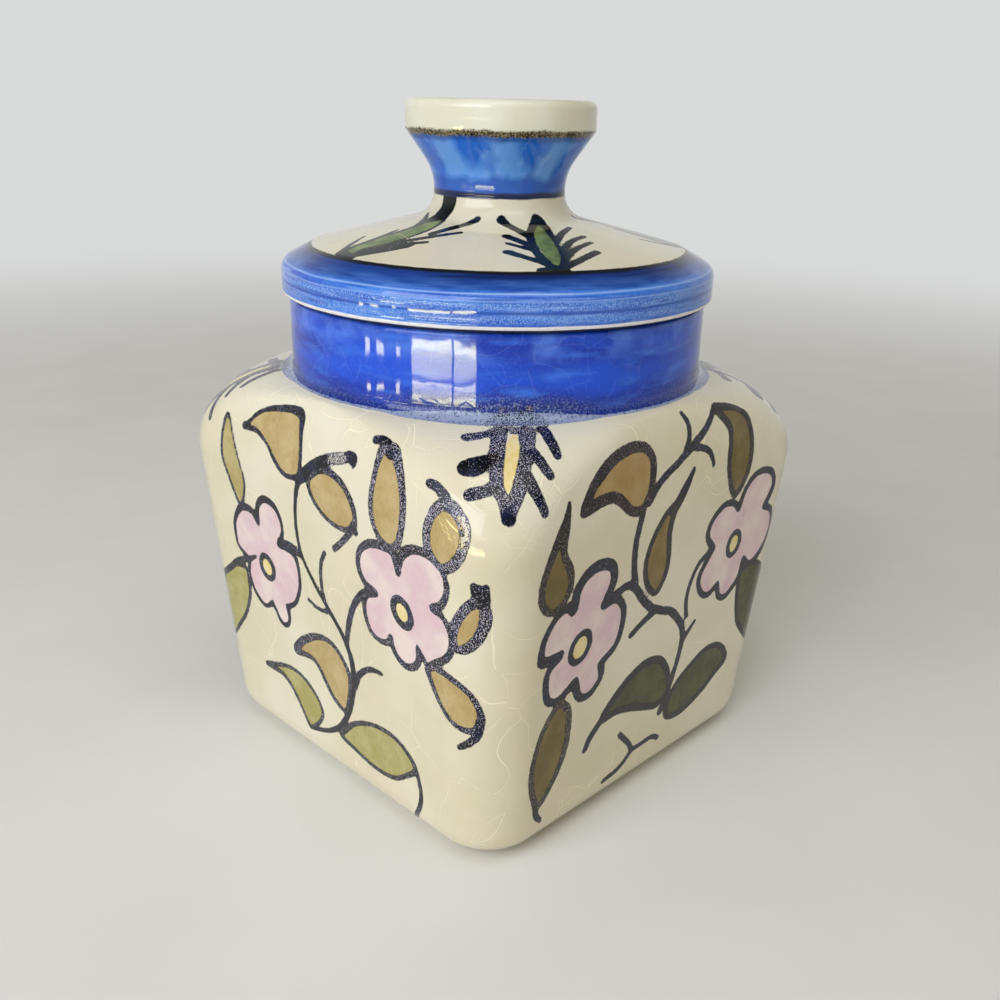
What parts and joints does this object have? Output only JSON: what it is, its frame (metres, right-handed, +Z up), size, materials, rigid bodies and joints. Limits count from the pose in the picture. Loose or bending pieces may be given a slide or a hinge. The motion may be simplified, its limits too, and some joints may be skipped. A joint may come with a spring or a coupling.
{
  "type": "lidded jar",
  "caption": "Square glazed earthenware jar with a round neck, and a domed plug lid with a flared knob that lifts off.",
  "frame": {"origin": "on the jar's axis, on the surface that its foot stands on", "axes": "+Z up along the axis of the neck and lid; the body's four faces look along +X, -X, +Y and -Y"},
  "size_m": [0.1246, 0.1246, 0.1752],
  "materials": {
    "cream_glaze": "gloss glaze, crazed, with painted flowers and leaves and a cobalt neck",
    "lid_glaze": "gloss glaze, with painted leaves and a cobalt rim",
    "knob_blue_glaze": "gloss glaze, cobalt waist under a cream band"
  },
  "bodies": {
    "jar": {"jar_body": "cream_glaze"},
    "lid": {"lid_cover": "lid_glaze", "lid_knob": "knob_blue_glaze"}
  },
  "joints": [
    {"name": "lid_lift", "type": "slide", "parent": "jar", "child": "lid", "axis": [0, 0, 1], "range_m": [0, 0.1]}
  ]
}
